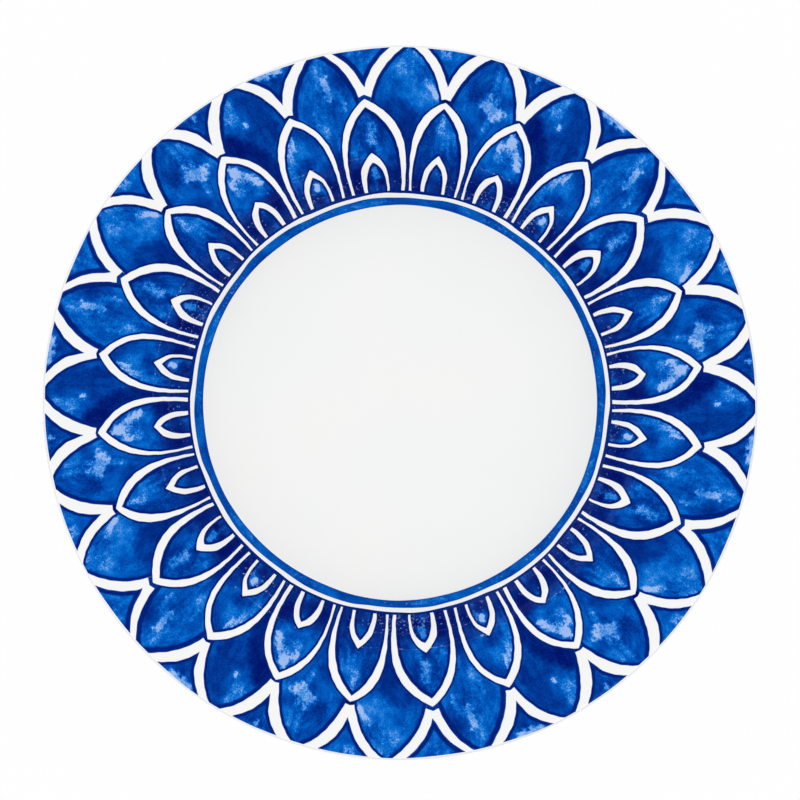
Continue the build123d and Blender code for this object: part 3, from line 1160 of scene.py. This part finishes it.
budOutline = {
    "axes": (8.6, 23.15, 38, 52.95),
    "tips": (94.3, 93.5, 94.2, 95),
    "left": [(4.6, (6.1, 87), (4.2, 90.3)), (4.8, (6.2, 88.4), (4.5, 90.2)),
             (4.8, (6.2, 86.6), (4.6, 90.7)), (4.1, (5.7, 86.8), (5.9, 89.7))],
    "right": [(4.2, (5.1, 87.6), (4.6, 89.5)), (4.7, (5.5, 86.8), (4.6, 90.3)),
              (4.6, (5.3, 86.7), (4.1, 90.4)), (5.2, (6, 86.6), (5.5, 91.3))],
}
budBlue = {
    "axes": budOutline["axes"],
    "tips": (90.8, 90.7, 90.9, 91),
    "left": [(3.4, (3.8, 86), (1.2, 90.7)), (3.7, (3.7, 86.7), (2.1, 88.6)),
             (3.8, (3.5, 86.9), (3, 87.9)), (2.9, (3.3, 86), (2.1, 89.2))],
    "right": [(3, (3.6, 86.5), (2.1, 88.6)), (3.2, (2.9, 83.3), (3.4, 87.7)),
              (3.3, (3.7, 86.7), (3.3, 88.6)), (4.2, (4.9, 85.9), (3.4, 89.8))],
    "paint": (0.36, 0.6, 0.8, 0.08),
    "wash": 1,
    "spread": 4,
    "ink": ((0.9, 0.9), (0.9, 0.9), (0.8, 0.8), (0.9, 0.9)),
    "light": [
        [(0.22, 0.4, 1.6, (9.4, 87.5), (10.3, 85))],
        [],
        [(1.1, 0.4, 0.9, (38, 87.9), (38, 86.2)), (1.1, 0.4, 0.8, (37.6, 86.1), (38.5, 86.1))],
        [(1.1, 0.55, 1.2, (53.2, 89), (53.3, 85.6)), (0.5, 0.1, 0.9, (53.3, 85), (53.4, 80.8))],
    ],
    "pool": [
        [(0.6, 1.5, 3, (8, 84), (9.5, 82))],
        [(0.7, 2, 3, (23.1, 85))],
        [(0.7, 1, 3, (38, 82.5))],
        [(0.6, 0.4, 1.8, (51.3, 84)), (0.6, 0.4, 1.8, (55.2, 84))],
    ],
}
outerBlue = {
    "axes": (0.9, 15.6, 30.4, 45.3),
    "tips": (135.3, 135.4, 135.1, 136.6),
    "left": [(10, (19.5, 112.5), (13, 126)), (10, (18.5, 108), (11.5, 128.5)),
             (10, (19, 106.5), (11, 130.5)), (10, (17.5, 114), (13.5, 124))],
    "right": [(10, (18, 108.5), (13, 129)), (10, (18.5, 106.5), (12.5, 130)),
              (10, (19, 108), (13, 129)), (10, (16.5, 110), (14.5, 127))],
    "paint": (0.49, 0.7, 0.8, 0.12),
    "wash": 11,
    "spread": 9,
    "edgeSpread": 6,  # and of the arc at the plate's edge
    "ink": ((1.3, 0.9), (1.5, 1.1), (1.5, 1), (2, 1.8)),
    "light": [
        [(0.42, 2.2, 3.5, (1.4, 130.5), (0.8, 126.5), (2.8, 124.5)),
         (0.46, 0.5, 2.2, (2.2, 131.5), (4.3, 127.5), (5, 124)), (0.45, 0.4, 1.8, (1.8, 129.5)),
         (0.62, 0.6, 1.8, (4.4, 121.5), (5.4, 119.5), (6.5, 116.3)),
         (0.5, 0.8, 2, (5.2, 123.5), (4.2, 121)), (0.3, 0.5, 2.2, (-2, 122.5), (-3.3, 117), (-3.5, 115.5)),
         (0.22, 2, 4, (3, 114.5), (1, 117))],
        [(0.95, 1.5, 2, (16.3, 116.6), (18.4, 114.6)),
         (0.95, 0.9, 1.8, (15.3, 116.8), (17.2, 115), (17.9, 112.8)),
         (0.8, 0.6, 1.6, (16.4, 117), (16.2, 120.8)), (0.72, 0.5, 1.6, (17.6, 117), (17.9, 120)),
         (0.52, 0.4, 1.7, (17.4, 112), (16.8, 107)), (0.6, 0.5, 1.6, (19.2, 116), (20, 114.8)),
         (0.42, 0.5, 2, (16.4, 124.5), (17, 122)), (0.52, 0.5, 2, (16.6, 129.5), (16.5, 124)),
         (0.32, 0.4, 1.8, (18, 128), (18.6, 123.5)), (0.28, 0.4, 1.6, (12.3, 121), (12.2, 113.5)),
         (0.24, 0.4, 1.6, (13.6, 124), (13.4, 116)), (0.25, 2, 4, (16, 126), (15.5, 119))],
        [(0.5, 1, 2.6, (29, 130), (28.2, 127), (27.6, 125), (28.2, 123.8)), (0.5, 0.4, 1.6, (28.6, 127.8)),
         (0.42, 0.4, 1.6, (29.4, 123.2)), (0.85, 0.4, 1.3, (29.9, 120.3), (30, 119)),
         (0.3, 1, 2.6, (28.5, 122)), (0.12, 1.5, 3.5, (33.3, 118.5), (33, 124))],
        [(0.8, 0.7, 1.6, (46.1, 125.8), (45.9, 124)), (0.9, 0.9, 2, (45.9, 124), (46.3, 118)),
         (0.5, 0.6, 1.8, (44.7, 122.8)), (0.5, 0.6, 1.8, (47.4, 120), (48.4, 116.5)),
         (0.6, 0.4, 1.5, (48.9, 114.5), (48.5, 112.3)), (0.4, 0.5, 1.8, (47.6, 113.3)),
         (0.42, 0.4, 1.6, (42.9, 110.5), (44.2, 106), (44.5, 102)),
         (0.38, 0.4, 1.6, (46.5, 106), (45.8, 99)), (0.36, 3, 4.5, (44.8, 128), (44.6, 114))],
    ],
    "pool": [
        [(0.3, 1, 3, (0.3, 118.5)), (0.75, 2, 4.5, (-1.5, 111.5), (1.5, 108)),
         (0.8, 3.5, 6, (0.9, 102), (0.9, 82))],
        [(0.3, 1, 3, (14.6, 112)), (0.5, 1.5, 5, (13, 108), (15.6, 102)),
         (0.8, 3, 8, (15.6, 92), (15.6, 82))],
        [(0.9, 2.5, 4, (25.4, 115.5), (27, 111), (29, 106), (30, 100)), (0.4, 1, 3, (35.5, 114.5)),
         (0.8, 3, 7, (30.4, 98), (30.4, 82))],
        [(0.8, 3, 7, (45.3, 92), (45.3, 82)), (0.3, 0.8, 2.5, (45.8, 112))],
    ],
}
linkLook = {
    "axes": innerOutline["axes"],
    # radius of each link's upper edge at its left end, its peak and its right end
    "tops": ((115, 115.7, 115), (114.9, 115.5, 114.8), (115.3, 116.2, 115.3), (115.9, 117, 115.7)),
    "half": 1.4,  # from its middle to its ends, in degrees
    "under": (3.4, 100),  # how wide and how far down the place under that edge reaches
    "steps": 8,
    "ink": 2,
    "pool": 0.4,
    "paint": (0.28, 0.5, 0.8, 0.07),
    "wash": 21,
}
edgeLook = {
    # a side is (handle by the apex, handle by the edge, half width at the edge)
    "axes": (8.3, 22.85, 37.7, 53.05),
    "apex": (120.5, 120.3, 120.8, 120),
    "left": [((2, 124.5), (3, 128.5), 9.8), ((1, 124.5), (2, 129.5), 8.6),
             ((1.5, 124.5), (2, 129), 10), ((2, 122), (2.5, 128), 11.2)],
    "right": [((1, 123), (2.5, 129.5), 9.4), ((1.5, 124.5), (3, 128.5), 9.8),
              ((1, 124), (3, 129), 10.3), ((1, 123.5), (5, 130), 11.3)],
    "paint": (0.46, 0.7, 0.8, 0.12),
    "wash": 26,
    "edgeSpread": 7,
    "beyond": 3,  # how many steps its sides run on past the edge
    "ink": ((1.2, 1.1), (1.2, 1.2), (1.3, 1.1), (1.8, 1.7)),
    "light": [
        [(0.62, 0.7, 1.8, (6.6, 133.4), (7.6, 132.4)), (0.45, 0.4, 1.6, (7.3, 132), (7.1, 130.5)),
         (0.35, 0.4, 1.4, (10.3, 133.5))],
        [(0.8, 0.4, 1.1, (23, 133.6), (23.1, 131.6)), (0.45, 0.3, 1.3, (21.7, 131.5), (22.3, 128.8)),
         (0.45, 0.4, 1.3, (21.6, 133.8), (24.6, 133.8))],
        [(0.95, 0.9, 1.3, (35.4, 133.8), (38.8, 133.6)), (0.75, 0.35, 1.2, (36.6, 133), (36.6, 131.8)),
         (0.75, 0.35, 1.2, (38.1, 133), (38.1, 132)), (0.45, 0.3, 1.3, (39.7, 132.8))],
        [(0.42, 1.6, 2.8, (51.5, 132.3), (54, 130.5))],
    ],
    "pool": [
        [(0.3, 1, 3, (8.5, 124), (8.5, 121))],
        [(0.3, 1, 3, (22.9, 124), (22.9, 121))],
        [(0.6, 1.5, 3.5, (38.2, 129.5), (37.8, 122))],
        [(0.1, 1, 3, (53, 123))],
    ],
}


def petalSides(look, i):
    # the left and the right side of one petal, from foot to tip: i counts on into the strips beside this one
    sides = []
    strip, petal = divmod(i, petalsPerStrip)
    creep = film["creep"] if "ink" in look else -film["creep"]
    tip = (0, look["tips"][petal] + film["creepAtTip"] * creep)
    for side, name in ((-1, "left"), (1, "right")):
        foot, belly, crown = look[name][petal]
        start = (side * (foot + creep), feet - film["startDip"])
        low = (side * (belly[0] + creep), belly[1])
        high = (side * (crown[0] + creep), crown[1] + creep)
        line = curve(start, low, high, tip)
        sides.append(wandered(turned(line, look["axes"][petal] + stripAngle * strip), brushedEdge))
    return sides


def closed(sides):
    outline = np.vstack([sides[0], sides[1][-2::-1]])
    return np.vstack([outline, outline[:1]])


def brushPlace(plan, look, i):
    # where the brush's noise is read, upright along the petal's axis
    shift = np.array(film["washShift"]) * (look["wash"] + i)
    return turned(plan, -look["axes"][i]) + shift


def addIsland(strip, lines, keep, sides, look, i, over=()):
    # over holds the outlines of petals in front of this one, where the brush left a thinner line
    plan, faces = filled(lines, keep)
    left, right = look["ink"][i]
    ink = np.minimum(distanceTo(plan, sides[0]) / left, distanceTo(plan, sides[1]) / right)
    for line in over:
        ink = np.minimum(ink, film["besideStart"] + distanceTo(plan, line) / film["beside"])
    values = {"ink": ink, "light": dabbed(plan, look["light"][i]), "pool": dabbed(plan, look["pool"][i])}
    strip.add(plan, faces, values, brushPlace(plan, look, i))


def makePetals(name, node, look, material, petalsOver):
    # petalsOver gives the outlines of the petals in front of petal i
    strip = Strip()
    for i in range(petalsPerStrip):
        axis, spread = look["axes"][i], look["spread"]
        sides, over = petalSides(look, i), petalsOver(i)
        outline = closed(sides)
        lines = [outline] + over + [arc(feet, axis - spread, axis + spread)]
        if "edgeSpread" in look:
            lines.append(limitLine(axis - look["edgeSpread"], axis + look["edgeSpread"]))

        def keep(points):
            radius = radiusOf(points)
            kept = inside(points, outline) & (radius > feet) & (radius < paintLimit(azimuthOf(points)))
            for line in over:
                kept &= ~inside(points, line)
            return kept

        addIsland(strip, lines, keep, sides, look, i, over)
    seat(strip.lay(name, material), node)


def makeLinks(name, node, look, material):
    strip = Strip()
    half = look["half"]
    wide, low = look["under"]
    for i in range(petalsPerStrip):
        before, after = closed(petalSides(outerBlue, i)), closed(petalSides(outerBlue, i + 1))
        petal = closed(petalSides(innerOutline, i))
        axis = look["axes"][i]
        left, peak, right = (polar(axis + k * half, radius) for k, radius in zip((-1, 0, 1), look["tops"][i]))
        rising = np.linspace(left, peak, look["steps"] + 1)
        falling = np.linspace(peak, right, look["steps"] + 1)
        top = np.vstack([rising, falling[1:]])
        place = np.vstack([top, [polar(axis + wide, low), polar(axis - wide, low)], top[:1]])

        def keep(points):
            covered = inside(points, before) | inside(points, after) | inside(points, petal)
            return inside(points, place) & ~covered

        plan, faces = filled([before, after, petal, top], keep)
        nothing = np.zeros(len(plan))
        values = {"ink": nothing + look["ink"], "light": nothing, "pool": nothing + look["pool"]}
        strip.add(plan, faces, values, brushPlace(plan, look, i))
    seat(strip.lay(name, material), node)


def makeSpandrels(name, node, look, material):
    strip = Strip()
    creep = film["creep"]
    for i in range(petalsPerStrip):
        axis, spread = look["axes"][i], look["edgeSpread"]
        apex = (0, look["apex"][i] - film["creepAtApex"] * creep)
        sides = []
        for side, key in ((-1, "left"), (1, "right")):
            low, high, half = look[key][i]
            half += creep
            end = (side * half, sqrt(paintEdge ** 2 - half ** 2))
            line = curve(apex, (side * low[0], low[1]), (side * high[0], high[1]), end)
            beyond = line[-1] + (line[-1] - line[-2]) * look["beyond"]
            sides.append(wandered(turned(np.vstack([line, beyond]), axis), brushedEdge))
        outline = np.vstack([sides[0][::-1], sides[1][1:]])
        outline = np.vstack([outline, outline[:1]])

        def keep(points):
            return inside(points, outline) & (radiusOf(points) < paintLimit(azimuthOf(points)))

        addIsland(strip, [outline, limitLine(axis - spread, axis + spread)], keep, sides, look, i)
    seat(strip.lay(name, material), node)


def innerAround(i):
    return [closed(petalSides(innerOutline, i - 1)), closed(petalSides(innerOutline, i))]


makePetals("budPetals", "bud_petals", budBlue, paintMaterial("budBlue", budBlue["paint"]), lambda i: [])
makePetals("innerPetals", "inner_petals", innerBlue, paintMaterial("innerBlue", innerBlue["paint"]),
           lambda i: [closed(petalSides(budOutline, i))])
makePetals("outerPetals", "outer_petals", outerBlue, paintMaterial("outerBlue", outerBlue["paint"]),
           innerAround)
makeLinks("tipLinks", "tip_links", linkLook, paintMaterial("linkBlue", linkLook["paint"]))
makeSpandrels("edgeSpandrels", "edge_spandrels", edgeLook, paintMaterial("edgeBlue", edgeLook["paint"]))
print("petals ready")
